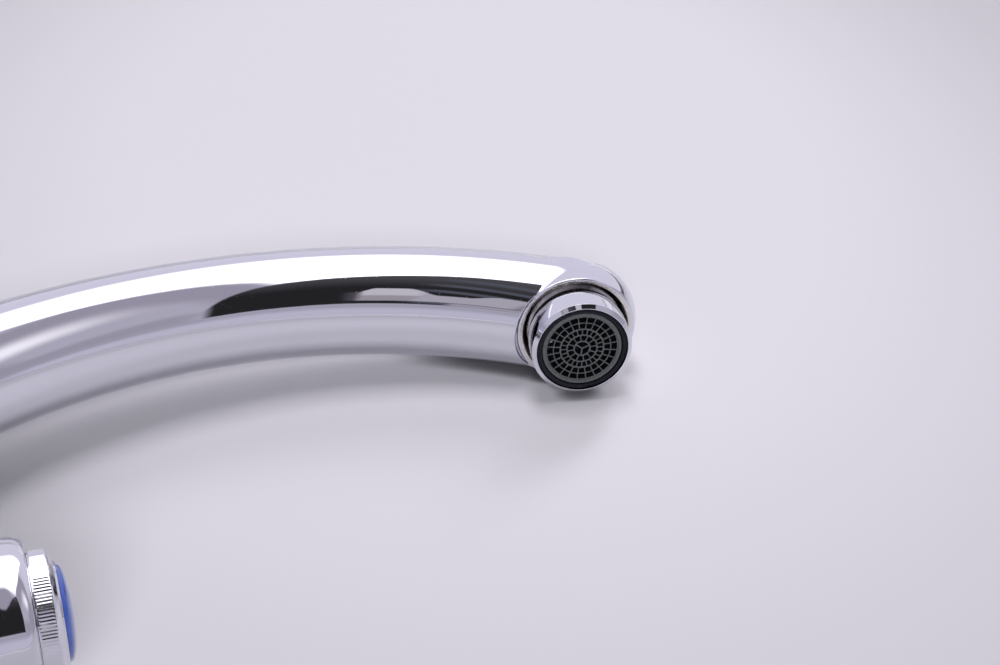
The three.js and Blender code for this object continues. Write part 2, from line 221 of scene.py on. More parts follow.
CHROME = (0.722, 0.728, 0.778)
MAT = {
    "chrome": chrome_material("chrome", CHROME, 0.022, 1.0),
    "chrome_fine": chrome_material("chrome_fine", CHROME, 0.035, 0.3),
    "bare_lip": satin_metal("bare_lip", (0.66, 0.62, 0.575), (0.80, 0.755, 0.70), 0.16, 700, 0.000006),
    "thread": satin_metal("thread", (0.20, 0.19, 0.185), (0.32, 0.305, 0.295), 0.30, 700, 0.000006),
    "neck": satin_metal("neck", (0.36, 0.35, 0.355), (0.48, 0.465, 0.47), 0.2, 700, 0.000004),
    "brass": satin_metal("brass", (0.55, 0.38, 0.15), (0.74, 0.55, 0.26), 0.3, 420, 0.00002),
    "steel": satin_metal("steel", (0.42, 0.43, 0.45), (0.60, 0.61, 0.63), 0.28, 600, 0.00001),
    "rubber": plastic("rubber", (0.010, 0.010, 0.011), (0.022, 0.022, 0.023), 0.62, 1500, 0.00002),
    "black_plastic": plastic("black_plastic", (0.002, 0.0025, 0.005), (0.006, 0.0065, 0.011), 0.3, 1100, 0.000004, 0.0, 0.2),
    "grey_plastic": plastic("grey_plastic", (0.055, 0.062, 0.060), (0.088, 0.097, 0.093), 0.42, 1300, 0.000005),
    "grille_plastic": grille_material(),
    "white_plastic": plastic("white_plastic", (0.72, 0.72, 0.69), (0.82, 0.82, 0.79), 0.4, 900, 0.000006),
    "ceramic": plastic("ceramic", (0.78, 0.75, 0.66), (0.86, 0.84, 0.77), 0.18, 700, 0.000002, 0.3),
    "blue_cap": plastic("blue_cap", (0.022, 0.070, 0.34), (0.036, 0.100, 0.44), 0.09, 260, 0.000004, 0.9),
    "red_cap": plastic("red_cap", (0.36, 0.007, 0.006), (0.48, 0.014, 0.011), 0.09, 260, 0.000004, 0.9),
}


# =========================================================================
# mesh helpers
# =========================================================================
def link_mesh(name, V, N, Q, T, material, body, nodes=(), slot=None):
    """V in mm, N unit normals, Q quads, T triangles."""
    me = bpy.data.meshes.new(name)
    Q = np.asarray(Q, np.int64).reshape(-1, 4)
    T = np.asarray(T, np.int64).reshape(-1, 3)
    me.vertices.add(len(V))
    me.vertices.foreach_set("co", (np.asarray(V) * 0.001).astype(np.float32).ravel())
    loops = np.concatenate([Q.ravel(), T.ravel()])
    starts = np.concatenate([np.arange(len(Q)) * 4, len(Q) * 4 + np.arange(len(T)) * 3])
    me.loops.add(len(loops))
    me.loops.foreach_set("vertex_index", loops.astype(np.int32))
    me.polygons.add(len(starts))
    me.polygons.foreach_set("loop_start", starts.astype(np.int32))
    me.update(calc_edges=True)
    me.validate()
    me.polygons.foreach_set("use_smooth", np.ones(len(me.polygons), bool))
    if N is not None:
        me.normals_split_custom_set_from_vertices(np.asarray(N, np.float32))
    me.materials.append(MAT[material])
    o = bpy.data.objects.new(name, me)
    scene.collection.objects.link(o)
    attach(o, body)
    if nodes:
        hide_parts(*nodes)
    return o


def place(parts, M):
    """Moves shells by a 4x4 matrix."""
    out = []
    for V, N, Q, T in parts:
        out.append((V @ M[:3, :3].T + M[:3, 3], N @ M[:3, :3].T, Q, T))
    return out


def joined(parts):
    Vs, Ns, Qs, Ts, base = [], [], [], [], 0
    for V, N, Q, T in parts:
        Vs.append(V), Ns.append(N), Qs.append(np.asarray(Q).reshape(-1, 4) + base), Ts.append(np.asarray(T).reshape(-1, 3) + base)
        base += len(V)
    return np.concatenate(Vs), np.concatenate(Ns), np.concatenate(Qs), np.concatenate(Ts)


def add_piece(name, parts, material, body, nodes=(), slot=None, M=None):
    if M is not None:
        parts = place(parts, M)
    return link_mesh(name, *joined(parts), material, body, nodes, slot)


def outline(points, closed, seg=6):
    """Turned profile from corners (r, z) or (r, z, radius): points, exact normals, and which spans carry faces."""
    pts = [(p[0], p[1], p[2] if len(p) > 2 else 0.0) for p in points]
    n = len(pts)
    P, N, face = [], [], []
    def seg_n(a, b):
        d = np.array([b[0] - a[0], b[1] - a[1]], float)
        d /= np.linalg.norm(d)
        return np.array([d[1], -d[0]]), d
    for i, (r, z, R) in enumerate(pts):
        c = np.array([r, z], float)
        has_prev, has_next = closed or i > 0, closed or i < n - 1
        if not has_prev or not has_next:
            nn, _ = seg_n(pts[i], pts[i + 1]) if has_next else seg_n(pts[i - 1], pts[i])
            P.append(c), N.append(nn), face.append(True)
            continue
        a, b = pts[i - 1], pts[(i + 1) % n]
        n1, d1 = seg_n(a, pts[i])
        n2, d2 = seg_n(pts[i], b)
        turn = math.atan2(d1[0] * d2[1] - d1[1] * d2[0], float(np.clip(d1 @ d2, -1, 1)))
        if R < 0 or abs(turn) < 1e-4:      # smooth point on a curve
            l1, l2 = np.hypot(*(c - a[:2])), np.hypot(*(c - np.array(b[:2])))
            nn = n1 * l2 + n2 * l1
            P.append(c), N.append(nn / np.linalg.norm(nn)), face.append(True)
        elif R == 0:
            P += [c, c]
            N += [n1, n2]
            face += [False, True]
        else:
            t = R * math.tan(abs(turn) / 2)
            lim = 0.48 * min(np.hypot(*(c - a[:2])), np.hypot(*(c - np.array(b[:2]))))
            if t > lim:
                R *= lim / t
                t = lim
            s = 1 if turn > 0 else -1
            centre = c - d1 * t - n1 * R * s
            k = max(2, int(math.ceil(seg * abs(turn) / (math.pi / 2))))
            for j in range(k + 1):
                g = turn * j / k
                nn = np.array([n1[0] * math.cos(g) - n1[1] * math.sin(g), n1[0] * math.sin(g) + n1[1] * math.cos(g)])
                P.append(centre + nn * R * s), N.append(nn), face.append(True)
    return np.array(P), np.array(N), np.array(face)


def lathe(points, n=160, f=None, closed=False, seg=6):
    """Turned shell about Z. f(theta, r, z) gives a changed radius."""
    P, N, face = outline(points, closed, seg)
    m = len(P)
    th = 2 * np.pi * np.arange(n) / n
    TH, r, z = th[None, :], P[:, 0][:, None], P[:, 1][:, None]
    nr, nz = N[:, 0][:, None], N[:, 1][:, None]
    if f is None:
        R, Rt, rk = r + 0 * TH, 0 * TH + 0 * r, -nz + 0 * TH
    else:
        e = 1e-4
        R = f(TH, r, z)
        Rt = (f(TH + e, r, z) - f(TH - e, r, z)) / (2 * e)
        fr = (f(TH, r + e, z) - f(TH, r - e, z)) / (2 * e)
        fz = (f(TH, r, z + e) - f(TH, r, z - e)) / (2 * e)
        rk = fr * -nz + fz * nr
        R = np.where(r < 1e-9, 0, R)
    zk = nr + 0 * TH
    ct, st = np.cos(TH), np.sin(TH)
    slope = np.where(R > 1e-6, Rt / np.maximum(R, 1e-6), 0) * zk
    NX, NY, NZ = zk * ct + slope * st, zk * st - slope * ct, -rk
    V = np.stack([R * ct, R * st, z + 0 * TH], -1).reshape(-1, 3)
    NN = np.stack([NX, NY, NZ], -1).reshape(-1, 3)
    NN /= np.maximum(np.linalg.norm(NN, axis=1, keepdims=True), 1e-9)
    k0 = np.arange(m) if closed else np.arange(m - 1)
    k1 = (k0 + 1) % m
    keep = face[k0] & (np.hypot(*(P[k1] - P[k0]).T) > 1e-7)
    k0, k1 = k0[keep], k1[keep]
    i0 = np.arange(n)
    i1 = (i0 + 1) % n
    A = k0[:, None] * n + i0
    B = k0[:, None] * n + i1
    C = k1[:, None] * n + i1
    D = k1[:, None] * n + i0
    Q = np.stack([A, B, C, D], -1)
    low, high = P[k0, 0] < 1e-6, P[k1, 0] < 1e-6
    quads = Q[~low & ~high].reshape(-1, 4)
    tris = np.concatenate([Q[low][:, :, [0, 2, 3]].reshape(-1, 3), Q[high][:, :, [0, 1, 2]].reshape(-1, 3)])
    # one shared point on each pole
    for k in np.nonzero(P[:, 0] < 1e-6)[0]:
        first = k * n
        sel = (tris >= first) & (tris < first + n)
        tris[sel] = first
    used = np.zeros(len(V), bool)
    used[quads.ravel()] = True
    used[tris.ravel()] = True
    new = np.cumsum(used) - 1
    return V[used], NN[used], new[quads], new[tris]


def spline(xs, ys, x):
    """Natural cubic through the knots."""
    xs, ys = np.asarray(xs, float), np.asarray(ys, float)
    n = len(xs)
    h = np.diff(xs)
    A = np.zeros((n, n))
    b = np.zeros(n)
    A[0, 0] = A[-1, -1] = 1
    for i in range(1, n - 1):
        A[i, i - 1], A[i, i], A[i, i + 1] = h[i - 1], 2 * (h[i - 1] + h[i]), h[i]
        b[i] = 6 * ((ys[i + 1] - ys[i]) / h[i] - (ys[i] - ys[i - 1]) / h[i - 1])
    c = np.linalg.solve(A, b)
    x = np.clip(x, xs[0], xs[-1])
    i = np.clip(np.searchsorted(xs, x) - 1, 0, n - 2)
    u, w, hi = x - xs[i], xs[i + 1] - x, h[i]
    return c[i] * w**3 / (6 * hi) + c[i + 1] * u**3 / (6 * hi) + (ys[i] / hi - c[i] * hi / 6) * w + (ys[i + 1] / hi - c[i + 1] * hi / 6) * u


def curve_pts(knots, n):
    """Smooth run of profile points through (r, z) knots, marked as curve points."""
    k = np.array(knots, float)
    t = np.concatenate([[0], np.cumsum(np.hypot(*np.diff(k, axis=0).T))])
    u = np.linspace(0, t[-1], n)
    r, z = spline(t, k[:, 0], u), spline(t, k[:, 1], u)
    return [(a, b, -1.0) for a, b in zip(r, z)]


# ---- solids given by a distance function ---------------------------------
def r_and(a, b, r):
    return np.minimum(-r, np.maximum(a, b)) + np.hypot(np.maximum(a + r, 0), np.maximum(b + r, 0))


def r_or(a, b, r):
    return np.maximum(r, np.minimum(a, b)) - np.hypot(np.maximum(r - a, 0), np.maximum(r - b, 0))


def nets(F):
    """Surface nets: points in index space and quads facing where F grows."""
    shape = np.array(F.shape)
    cells = shape - 1
    ids, pos, quads = [], [], []
    for axis in range(3):
        u, v = (axis + 1) % 3, (axis + 2) % 3
        lo = [slice(None)] * 3
        hi = [slice(None)] * 3
        lo[axis], hi[axis] = slice(0, -1), slice(1, None)
        f0, f1 = F[tuple(lo)], F[tuple(hi)]
        idx = np.argwhere((f0 < 0) != (f1 < 0))
        ok = (idx[:, u] > 0) & (idx[:, v] > 0) & (idx[:, u] < shape[u] - 1) & (idx[:, v] < shape[v] - 1)
        idx = idx[ok]
        a, b = f0[tuple(idx.T)], f1[tuple(idx.T)]
        p = idx.astype(float)
        p[:, axis] += a / (a - b)
        four = []
        for du, dv in ((1, 1), (0, 1), (0, 0), (1, 0)):
            c = idx.copy()
            c[:, u] -= du
            c[:, v] -= dv
            cid = (c[:, 0] * cells[1] + c[:, 1]) * cells[2] + c[:, 2]
            four.append(cid)
            ids.append(cid)
            pos.append(p)
        q = np.stack(four, -1)
        q[a >= 0] = q[a >= 0][:, ::-1]
        quads.append(q)
    ids, pos, quads = np.concatenate(ids), np.concatenate(pos), np.concatenate(quads)
    uniq, inv = np.unique(ids, return_inverse=True)
    cnt = np.bincount(inv)
    P = np.stack([np.bincount(inv, pos[:, k]) / cnt for k in range(3)], -1)
    return P, np.searchsorted(uniq, quads)


def implicit(F, axes, scale0=None, rounds=4):
    """Shell where F(q0, q1, q2) = 0 on a grid with the given axis values. scale0(q) is the length of a unit step of q0.
    Gives points in grid coordinates, gradients along the three directions, and quads."""
    G = F(axes[0][:, None, None], axes[1][None, :, None], axes[2][None, None, :])
    P, quads = nets(G)
    q = np.stack([np.interp(P[:, k], np.arange(len(axes[k])), axes[k]) for k in range(3)], -1)
    step = np.stack([np.interp(P[:, k], np.arange(len(axes[k]) - 1) + 0.5, np.diff(axes[k])) for k in range(3)], -1)
    e = 0.012
    def grad(q):
        g = np.empty_like(q)
        for k in range(3):
            d = np.zeros(3)
            d[k] = e
            g[:, k] = (F(*(q + d).T) - F(*(q - d).T)) / (2 * e)
        if scale0 is not None:
            g[:, 0] /= scale0(q)
        return g
    for _ in range(rounds):
        g = grad(q)
        val = F(*q.T)
        mv = -(val / np.maximum((g * g).sum(1), 0.05))[:, None] * g
        if scale0 is not None:
            mv[:, 0] /= scale0(q)
        q = q + np.clip(mv, -0.4 * step, 0.4 * step)
    g = grad(q)
    return q, g / np.maximum(np.linalg.norm(g, axis=1, keepdims=True), 1e-9), quads


def axis(*runs):
    """Grid values from runs of (start, end, step)."""
    out = []
    for a, b, s in runs:
        n = max(1, int(round((b - a) / s)))
        out.append(np.linspace(a, b, n + 1)[:-1])
    out.append([runs[-1][1]])
    return np.concatenate(out)


NO_T = np.zeros((0, 3), np.int64)


# =========================================================================
# frames
# =========================================================================
def rot(axis_name, deg):
    return np.array(Matrix.Rotation(rad(deg), 4, axis_name))


def shift(x, y, z):
    m = np.eye(4)
    m[:3, 3] = (x, y, z)
    return m


HANDLE = {"cold": shift(0, 0, HANDLE_Z) @ rot("Y", 90 - TILT), "hot": shift(0, 0, HANDLE_Z) @ rot("Y", -(90 - TILT))}
SPOUT = rot("Z", SWING)
OUTLET = SPOUT @ shift(REACH, 0, OUTLET_Z)


# =========================================================================
# spout
# =========================================================================
def spine_table():
    k0, k1, s1, run, ke = 0.008084, -1.3745e-5, 160.0, 68.2, 0.01938
    ks = k0 + k1 * s1
    th, x, z, out = rad(23.2), 0.0, 15.75, []
    for i in range(int(round((s1 + run) / 0.2)) + 1):
        s = i * 0.2
        out.append((s, REACH + x, OUTLET_Z + z, th))
        k = k0 + k1 * s if s < s1 else ks + (ke - ks) * (s - s1) / run
        nxt = th - k * 0.2
        mid = (th + nxt) / 2
        x -= math.cos(mid) * 0.2
        z += math.sin(mid) * 0.2
        th = nxt
    return np.array(out).T


SS, SX, SZ, ST = spine_table()
S_END = SS[-1]
K_TAB = -np.gradient(ST, SS)


def spine_at(s):
    x, z, t = np.interp(s, SS, SX), np.interp(s, SS, SZ), np.interp(s, SS, ST)
    a, b = np.minimum(s, 0), np.maximum(s - S_END, 0)
    return x - a * math.cos(ST[0]) - b * math.cos(ST[-1]), z + a * math.sin(ST[0]) + b * math.sin(ST[-1]), t


def spine_k(s):
    return np.where((s < 0) | (s > S_END), 0.0, np.interp(s, SS, K_TAB))


def tube_r(s):
    q = (s + np.sqrt(s * s + 64)) / 200
    q = 0.5 * (q + 2.05 - np.sqrt((q - 2.05) ** 2 + 0.0144))
    return 14.1 - 2.5 * q + 1.823 * q * q


def spout_field(s, a, b):
    x, z, t = spine_at(s)
    px, pz = x + a * np.sin(t), z + a * np.cos(t)
    v = pz - OUTLET_Z
    rho = np.hypot(px - REACH, b)
    r = tube_r(s)
    # bent tube with a domed end
    L, t0, n = 15.85, 2.6, 2.1
    ahead = np.maximum(-s - t0, 0) * (14.1 / (L - t0))
    core = (ahead**n + np.abs(a) ** n + 1e-9) ** (1 / n)
    d = np.hypot(core, b) - r
    # the tube ends above the mouth, and a straight boss with a softened edge stands out of it
    d = r_and(d, np.minimum(MOUTH + 0.35 - v, (MOUTH + 0.35 - 2.6 * (rho - BOSS_R) - v) * 0.359), 0.35)
    boss = np.maximum(r_and(rho - BOSS_R, MOUTH - v, 0.45), a - 4.0)
    d = r_or(d, boss, 0.4)
    # thread bore and waterway
    d = np.maximum(d, -np.maximum(rho - 13.4, v - 17.6))
    # flared root that turns on the body
    R = np.hypot(px, b)
    flare = spline([82.4, 85.0, 89.5, 96.0, 104.0, 112.0], [19.7, 19.7, 18.85, 17.5, 16.6, 16.0], pz)
    root = np.maximum((R - flare) * 0.98, np.maximum(82.9 - pz, pz - 106.0))
    d = np.where(pz < 118, r_or(d, root, 4.0), d)
    d = r_and(d, 82.9 - pz, 0.05)
    d = np.maximum(d, -np.maximum(R - 11.95, pz - 91.4))
    return d


axes = (axis((-17.2, 26.0, 0.30), (26.0, 34.0, 0.8), (34.0, 176.0, 2.0), (176.0, 182.0, 1.0), (182.0, 237.0, 0.6)),
        axis((-20.7, 20.7, 0.32)), axis((-20.6, 20.6, 0.32)))
q, g, quads = implicit(spout_field, axes, lambda q: 1 + spine_k(q[:, 0]) * q[:, 1])
x, z, t = spine_at(q[:, 0])
V = np.stack([x + q[:, 1] * np.sin(t), q[:, 2], z + q[:, 1] * np.cos(t)], -1)
N = np.stack([-g[:, 0] * np.cos(t) + g[:, 1] * np.sin(t), g[:, 2], g[:, 0] * np.sin(t) + g[:, 1] * np.cos(t)], -1)
add_piece("spout_casting", [(V, N, quads, NO_T)], "chrome", "spout", ["spout"], "chrome", SPOUT)

# collar band at the root, with its small bead
add_piece("spout_root_band", [lathe([
    (12.05, 81.6, 0.2), (19.2, 81.6, 0.35), (19.75, 82.3, 0.35), (19.75, 83.7, 0.25), (19.35, 84.0, 0.15), (19.35, 84.3, 0.15), (19.72, 84.6, 0.15),
    (19.72, 84.9, 0.1), (18.2, 84.95), (12.05, 84.95)], 192, closed=True)], "chrome", "spout", (), "chrome", SPOUT)

# mouth of the boss: the bare cut lip, then the female thread inside it
add_piece("outlet_lip", [lathe([
    (12.85, MOUTH + 0.25, 0.1), (12.98, MOUTH - 0.02, 0.08), (13.62, MOUTH - 0.05, 0.05), (13.62, 12.0), (12.85, 12.0)], 220, closed=True)],
    "bare_lip", "spout", (), "chrome", OUTLET)
teeth = [(13.39, MOUTH + 0.6, 0.0), (13.39, 17.5, 0.0), (12.35, 17.5, 0.0)]
for i in range(9):
    zt = 17.2 - i * 0.8
    teeth += [(12.2, zt, 0.05), (12.62, zt - 0.4, 0.06)]
teeth += [(12.8, MOUTH + 0.6, 0.06)]
add_piece("outlet_thread", [lathe(teeth, 200, closed=True, seg=3)], "thread", "spout", (), "chrome", OUTLET)


# =========================================================================
# aerator
# =========================================================================
FLAT = rad(-138.0)


def flats(th, r, z):
    d = 11.86 / np.maximum(np.abs(np.cos(th - FLAT)), 0.2)
    return np.where((r > 11.3) & (z > 0.9), np.minimum(r, d), r)


housing = [(11.05, -0.2, 0.06), (11.22, -0.2, 0.08), (12.12, 0.56, 0.12), (12.12, 6.85, 0.28), (10.6, 6.95, 0.05), (10.6, 15.1), (10.0, 15.1), (10.0, 9.4), (11.05, 9.4)]
neck = [(10.6, 6.9), (11.5, 6.9, 0.1), (11.5, 9.0, 0.2), (11.0, 9.25, 0.1), (11.0, 10.0, 0.1)]
for i in range(7):
    zt = 10.4 + i * 0.66
    neck += [(11.72, zt, 0.05), (11.25, zt + 0.33, 0.05)]
neck += [(11.3, 15.2), (10.6, 15.2)]
add_piece("aerator_thread", [lathe(neck, 200, closed=True, seg=2)], "neck", "spout", (), "chrome", OUTLET)
add_piece("aerator_shell", [lathe(housing, 720, flats, closed=True, seg=5)], "chrome_fine", "spout", ["aerator_housing"], "chrome", OUTLET)
add_piece("aerator_core", [lathe([
    (9.75, 0.1, 0.2), (10.3, -0.02, 0.25), (10.95, 0.25, 0.25), (10.95, 9.1, 0.1), (9.8, 9.1, 0.1), (9.8, 3.2, 0.05), (9.0, 3.2, 0.05), (9.0, 2.6, 0.05), (9.75, 2.6, 0.05)],
    200, closed=True)], "black_plastic", "spout", ["aerator_insert"], "black_plastic", OUTLET)

CELLS = [(7.08, 8.45, 24, 0.0), (5.45, 6.80, 24, 0.0), (3.80, 5.05, 24, 0.5), (2.12, 3.45, 12, 0.5)]
GRILLE_TURN = rad(4.0)


def grille_field(x, y, z):
    rho, th = np.hypot(x, y), np.arctan2(y, x) - GRILLE_TURN
    d = np.maximum(rho - 9.55, np.abs(z - 1.3) - 0.95)
    for r0, r1, n, ph in CELLS:
        u = (th / (2 * np.pi) * n + ph) % 1.0
        side = np.minimum(u, 1 - u) * 2 * np.pi / n * rho
        hole = r_and(np.maximum(r0 - rho, rho - r1), 0.145 - side, 0.10)
        d = r_and(d, -hole, 0.07)
    u = (th / (2 * np.pi) * 3 + 0.25) % 1.0
    side = np.minimum(u, 1 - u) * 2 * np.pi / 3
    side = np.where(side < np.pi / 2, np.sin(np.minimum(side, np.pi / 2)), 1.0) * rho
    hole = r_and(rho - 1.72, 0.19 - side, 0.12)
    d = r_and(d, -hole, 0.07)
    # the ring outside the cells stands a little proud
    return np.maximum(d, -np.maximum(rho - 8.78, z - 0.55))


gx = axis((-9.8, 9.8, 0.115))
q, g, quads = implicit(grille_field, (gx, gx, axis((0.15, 2.45, 0.115))), rounds=3)
add_piece("aerator_outlet_grille", [(q, g, quads, NO_T)], "grille_plastic", "spout", ["aerator_grille"], "grey_plastic", OUTLET)
add_piece("aerator_seal", [lathe([(9.3, 15.35, 0.3), (11.9, 15.35, 0.4), (11.9, 17.2, 0.4), (9.3, 17.2, 0.3)], 96, closed=True)],
          "rubber", "spout", ["aerator_washer"], "rubber", OUTLET)


# =========================================================================
# body
# =========================================================================
def column_r(z):
    return spline([6.0, 10.5, 16.0, 25.0, 37.0, 50.0, 59.0, 73.0, 80.5], [20.9, 20.15, 19.55, 19.4, 21.2, 23.4, 23.2, 20.4, 18.9], z)


def body_field(x, y, z):
    rho = np.hypot(x, y)
    slope = (column_r(z + 0.2) - column_r(z - 0.2)) / 0.4
    d = (rho - column_r(z)) / np.sqrt(1 + slope * slope)
    for side in (1, -1):
        ax, az = side * math.cos(rad(TILT)), math.sin(rad(TILT))
        u = x * ax + (z - HANDLE_Z) * az
        px, pz = x - u * ax, z - HANDLE_Z - u * az
        w = np.sqrt(px * px + y * y + pz * pz)
        k = np.clip((u - 28.2) / 4.0, 0, 1)
        bar = r_and(w - (15.3 + 0.9 * k * k * (3 - 2 * k)), u - 36.0, 0.7)
        bar = np.maximum(bar, -u)
        d = r_or(d, bar, 5.0)
    d = r_and(d, z - 80.0, 1.3)
    d = r_and(d, 6.6 - z, 0.8)
    for side in (1, -1):
        ax, az = side * math.cos(rad(TILT)), math.sin(rad(TILT))
        u = x * ax + (z - HANDLE_Z) * az
        px, pz = x - u * ax, z - HANDLE_Z - u * az
        w = np.sqrt(px * px + y * y + pz * pz)
        d = r_and(d, -np.maximum(w - 10.8, 16.0 - u), 0.25)
    d = r_and(d, -np.maximum(rho - 12.3, 62.0 - z), 0.25)
    d = r_and(d, -np.maximum(rho - 16.9, z - 16.5), 0.25)
    hole = np.maximum(np.hypot(x, z - 77.0) - 2.3, -y)
    d = r_and(d, -hole, 0.2)
    return d


q, g, quads = implicit(body_field, (axis((-40.5, 40.5, 0.72)), axis((-24.6, 24.6, 0.72)), axis((5.4, 81.2, 0.72))))
add_piece("mixer_body", [(q, g, quads, NO_T)], "chrome", "tap_body", ["body"], "chrome")

add_piece("base_ring", [lathe([
    (17.0, 1.8, 0.2), (24.7, 1.8, 0.3), (25.0, 2.3, 0.3), (25.0, 4.1, 0.9), (23.6, 5.8, 1.2), (21.4, 6.2, 0.4), (17.0, 6.2, 0.2)], 224, closed=True, seg=8)],
    "chrome", "tap_body", ["base_flange"], "chrome")
add_piece("deck_gasket", [lathe([
    (17.2, 0, 0.2), (18.6, 0, 0.1), (18.9, 0.35, 0.1), (19.5, 0.35, 0.1), (19.8, 0, 0.1), (21.4, 0, 0.1), (21.7, 0.35, 0.1), (22.3, 0.35, 0.1), (22.6, 0, 0.1),
    (23.6, 0, 0.3), (23.6, 1.5, 0.3), (17.2, 1.5, 0.2)], 160, closed=True, seg=4)], "rubber", "tap_body", ["base_gasket"], "rubber")


def screw(pitch, depth, z0, z1):
    """Helical 60 degree thread cut into an outer wall between z0 and z1, fading at both ends."""
    def f(th, r, z):
        u = (z / pitch - th / (2 * np.pi)) % 1.0
        tri = np.abs(2 * u - 1)
        prof = np.clip((tri - 0.12) / 0.72, 0, 1)
        fade = np.clip((z - z0) / 1.0, 0, 1) * np.clip((z1 - z) / 1.0, 0, 1)
        return r - depth * prof * fade
    return f


shank = [(13.6, -60.0, 0.3), (15.5, -60.0, 0.2), (16.4, -59.2, 0.1)]
shank += [(16.4, z, -1.0) for z in np.arange(-59.0, 15.8, 0.125)]
shank += [(16.4, 16.2, 0.1), (13.6, 16.2, 0.1)]
outer = screw(1.5, 0.88, -59.6, 15.4)
add_piece("shank_tube", [lathe(shank, 128, lambda th, r, z: np.where(r > 16.0, outer(th, r, z), r), closed=True, seg=4)],
          "brass", "tap_body", ["threaded_shank"], "brass")
add_piece("under_washer", [lathe([(17.0, -22.5, 0.3), (24.0, -22.5, 0.5), (24.0, -20.0, 0.5), (17.0, -20.0, 0.3)], 160, closed=True)],
          "rubber", "tap_body", ["clamp_washer_rubber"], "rubber")
add_piece("steel_washer", [lathe([(16.9, -24.3, 0.15), (24.4, -24.3, 0.25), (24.4, -22.8, 0.25), (16.9, -22.8, 0.15)], 160, closed=True)],
          "steel", "tap_body", ["clamp_washer_steel"], "steel")


def nut_field(x, y, z):
    rho = np.hypot(x, y)
    d = np.full(np.broadcast(x, y, z).shape, -1e9)
    flat = 24.2 * math.cos(math.pi / 6)
    for k in range(3):
        a = math.pi / 3 * k + math.pi / 6 + math.pi / 6
        d = np.maximum(d, np.abs(x * math.cos(a) + y * math.sin(a)) - flat)
    zc = -28.6
    d = r_and(d, np.abs(z - zc) - 4.0, 0.3)
    d = r_and(d, (rho - 22.6 + (np.abs(z - zc) - 4.0) * 1.7) * 0.5, 0.2)
    u = (z / 1.5 - np.arctan2(y, x) / (2 * np.pi)) % 1.0
    inner = 16.75 + 0.5 * np.clip((np.abs(2 * u - 1) - 0.12) / 0.72, 0, 1)
    cham = np.maximum(np.abs(z - zc) - 3.2, 0)
    return np.maximum(d, inner + cham * 0.9 - rho)


gx = axis((-24.9, 24.9, 0.45))
q, g, quads = implicit(nut_field, (gx, gx, axis((-33.0, -24.2, 0.2))), rounds=3)
add_piece("hex_lock_nut", [(q, g, quads, NO_T)], "brass", "tap_body", ["lock_nut"], "brass")
add_piece("slip_ring", [lathe([(12.9, 80.3, 0.15), (18.5, 80.3, 0.3), (18.5, 81.3, 0.3), (12.9, 81.3, 0.15)], 160, closed=True)],
          "white_plastic", "tap_body", ["swivel_ring"], "white_plastic")


# =========================================================================
# knobs
# =========================================================================
def knob_parts():
    outer = [(16.55, 37.2, 0.2), (17.6, 37.2, 0.4), (18.5, 38.3, 0.7)]
    outer += curve_pts([(18.5, 40.2), (18.3, 43.0), (17.55, 46.6), (16.95, 49.8), (16.42, 53.0), (15.92, 56.0), (15.52, 58.4), (15.28, 59.8), (14.95, 60.55)], 32)
    outer += [(14.35, 61.2, 0.45), (12.1, 61.5, 0.15), (12.1, 62.0, 0.1), (12.1, 64.8, 0.1), (11.6, 65.25, 0.3), (10.5, 65.9, 0.5), (10.1, 66.35, 0.2), (9.72, 66.35, 0.12), (9.68, 64.4, 0.1),
              (4.9, 64.4, 0.1), (4.9, 60.1, 0.1), (2.6, 60.1, 0.1), (2.6, 58.3, 0.1), (4.4, 58.2, 0.05), (4.4, 49.2, 0.1), (9.0, 49.2, 0.6),
              (15.6, 45.6, 0.8), (16.55, 44.2, 0.6)]
    shell = lathe(outer, 256, closed=True, seg=8)
    ridge = [(11.7, 61.75, 0.05), (12.3, 61.75, 0.05)] + [(12.3, z, -1.0) for z in np.arange(61.85, 64.9, 0.2)] + [(12.3, 64.95, 0.05), (11.7, 64.95, 0.05)]
    knurl = lambda th, r, z: np.where(r > 12.0, r + 0.04 * (np.abs(((th * 120 / (2 * np.pi)) % 1.0) * 2 - 1) * 2 - 1) *
                                      np.clip((z - 61.75) / 0.3, 0, 1) * np.clip((64.95 - z) / 0.3, 0, 1), r)
    return [shell, lathe(ridge, 1440, knurl, closed=True, seg=3)]


knob = knob_parts()
dome = [(0.0, 64.9), (9.1, 64.9, 0.15), (9.32, 65.15, 0.1), (9.32, 66.35, 0.35)]
dome += [(9.15 * math.cos(a), 66.6 + 2.1 * math.sin(a), -1.0) for a in np.linspace(rad(8), rad(86), 22)]
dome += [(0.0, 68.7)]
cap = lathe(dome, 200)
sleeve = lathe([(13.4, 36.35, 0.15), (15.9, 36.35, 0.3), (15.9, 43.5, 0.9), (15.0, 44.4, 0.3), (8.6, 44.4, 0.2), (8.6, 43.3, 0.1), (13.4, 43.1, 0.3)], 160, closed=True)
for side, colour in (("cold", "blue_cap"), ("hot", "red_cap")):
    M, moving = HANDLE[side], f"{side}_knob"
    add_piece(f"{side}_turning_knob", knob, "chrome", moving, [f"{side}_handle"], "chrome", M)
    add_piece(f"{side}_dome_cap", [cap], colour, moving, [f"{side}_index_cap"], colour, M)
    add_piece(f"{side}_sleeve", [sleeve], "chrome", "tap_body", [f"{side}_shroud"], "chrome", M)


